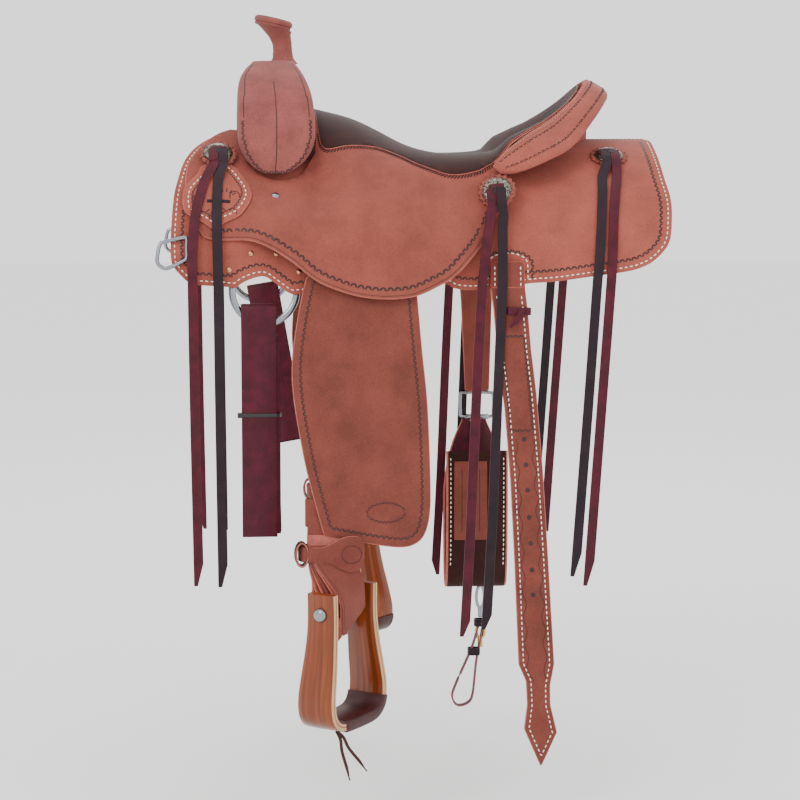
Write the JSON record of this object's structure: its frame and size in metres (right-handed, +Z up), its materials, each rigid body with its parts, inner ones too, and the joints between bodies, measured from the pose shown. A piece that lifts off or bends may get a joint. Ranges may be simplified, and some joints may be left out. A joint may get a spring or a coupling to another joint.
{
  "type": "western cow horse saddle",
  "caption": "Western stock saddle with horn, swell fork, rolled cantle, in-skirt rigging, fenders, bound wooden stirrups, flank cinch and saddle strings.",
  "frame": {"origin": "on the centre plane under the seat, on the horse's back", "axes": "+X to the horse's tail, -X to its head, -Y to the near (left) side, +Z up"},
  "size_m": [0.7453, 0.7632, 1.1218],
  "materials": {
    "roughout_leather": "rough-out suede",
    "seat_leather": "smooth, dark",
    "latigo_leather": "oiled, dark red",
    "stirrup_wood": "varnished laminated wood",
    "tree_wood": "covered saddle tree",
    "fleece": "wool pile",
    "steel": "satin",
    "concho_silver": "engraved silver plate",
    "cable_tie": "black nylon"
  },
  "bodies": {
    "saddle": {"skirt_near": "roughout_leather", "skirt_off": "roughout_leather", "fleece_near": "fleece", "fleece_off": "fleece", "tree_bar_near": "tree_wood", "tree_bar_off": "tree_wood", "seat_jockey": "roughout_leather", "seat_inlay": "seat_leather", "ground_seat": "tree_wood", "tree_cantle": "tree_wood", "cantle_roll": "roughout_leather", "cantle_back": "roughout_leather", "tree_fork": "tree_wood", "fork_cover": "roughout_leather", "horn_post": "steel", "horn_wrap": "roughout_leather", "horn_cap": "roughout_leather", "latigo_keeper_near": "roughout_leather", "latigo_keeper_off": "roughout_leather", "rigging_ring_near": "steel", "rigging_ring_off": "steel", "concho_front_near": "concho_silver", "concho_middle_near": "concho_silver", "concho_rear_near": "concho_silver", "concho_front_off": "concho_silver", "concho_middle_off": "concho_silver", "concho_rear_off": "concho_silver", "saddle_strings_front_near": "latigo_leather", "saddle_strings_middle_near": "latigo_leather", "saddle_strings_rear_near": "latigo_leather", "saddle_strings_front_off": "latigo_leather", "saddle_strings_middle_off": "latigo_leather", "saddle_strings_rear_off": "latigo_leather", "billet_chape_near": "roughout_leather", "billet_chape_off": "roughout_leather"},
    "dee_near": {"breast_dee_near": "steel"},
    "dee_off": {"breast_dee_off": "steel"},
    "latigo": {"latigo_near": "latigo_leather", "latigo_tie": "cable_tie"},
    "off_billet": {"billet_off": "latigo_leather"},
    "near_fender": {"fender_near": "roughout_leather", "stirrup_leather_near": "roughout_leather", "hobble_strap_near": "roughout_leather", "stirrup_bolt_near": "steel"},
    "off_fender": {"fender_off": "roughout_leather", "stirrup_leather_off": "roughout_leather", "hobble_strap_off": "roughout_leather", "stirrup_bolt_off": "steel"},
    "near_stirrup": {"stirrup_bow_near": "stirrup_wood", "stirrup_tread_near": "seat_leather"},
    "off_stirrup": {"stirrup_bow_off": "stirrup_wood", "stirrup_tread_off": "seat_leather"},
    "near_flank_billet": {"flank_billet_near": "roughout_leather"},
    "off_flank_billet": {"flank_billet_off": "roughout_leather", "flank_buckle": "steel"},
    "cinch": {"flank_cinch": "seat_leather"},
    "connector": {"cinch_connector": "seat_leather"}
  },
  "joints": [
    {"name": "dee_swing_near", "type": "hinge", "parent": "saddle", "child": "dee_near", "pos_m": [-0.302, -0.21922, -0.09], "axis": [0, 0.2201, 0.9755], "range_deg": [0, 70]},
    {"name": "dee_swing_off", "type": "hinge", "parent": "saddle", "child": "dee_off", "pos_m": [-0.302, 0.21922, -0.09], "axis": [0, 0.2201, -0.9755], "range_deg": [0, 70]},
    {"name": "latigo_swing", "type": "hinge", "parent": "saddle", "child": "latigo", "pos_m": [-0.193, -0.21557, -0.152], "axis": [-0.0348, 0.9842, -0.1735], "range_deg": [-12, 12]},
    {"name": "off_billet_swing", "type": "hinge", "parent": "saddle", "child": "off_billet", "pos_m": [-0.193, 0.21557, -0.152], "axis": [0.0348, 0.9842, 0.1735], "range_deg": [-2, 22]},
    {"name": "fender_swing_near", "type": "hinge", "parent": "saddle", "child": "near_fender", "pos_m": [-0.055, -0.2, -0.045], "axis": [0, 1, 0], "range_deg": [-18, 15]},
    {"name": "fender_swing_off", "type": "hinge", "parent": "saddle", "child": "off_fender", "pos_m": [-0.055, 0.2, -0.045], "axis": [0, 1, 0], "range_deg": [-14, 19]},
    {"name": "stirrup_swing_near", "type": "hinge", "parent": "near_fender", "child": "near_stirrup", "pos_m": [-0.0875, -0.305, -0.592], "axis": [0.5736, 0.8191, 0], "range_deg": [-25, 25]},
    {"name": "stirrup_swing_off", "type": "hinge", "parent": "off_fender", "child": "off_stirrup", "pos_m": [-0.04926, 0.305, -0.59293], "axis": [-0.5722, 0.8192, -0.04], "range_deg": [-25, 25]},
    {"name": "flank_billet_swing_near", "type": "hinge", "parent": "saddle", "child": "near_flank_billet", "pos_m": [0.1535, -0.2257, -0.149], "axis": [1, 0, 0], "range_deg": [0, 25]},
    {"name": "flank_billet_swing_off", "type": "hinge", "parent": "saddle", "child": "off_flank_billet", "pos_m": [0.1535, 0.2257, -0.149], "axis": [-1, 0, 0], "range_deg": [0, 10]},
    {"name": "cinch_swing", "type": "hinge", "parent": "off_flank_billet", "child": "cinch", "pos_m": [0.16, 0.2257, -0.39], "axis": [-1, 0, 0], "range_deg": [0, 15]},
    {"name": "connector_swing", "type": "hinge", "parent": "cinch", "child": "connector", "pos_m": [0.164, 0.199, -0.6677], "axis": [-1, 0, 0], "range_deg": [-20, 20]}
  ]
}
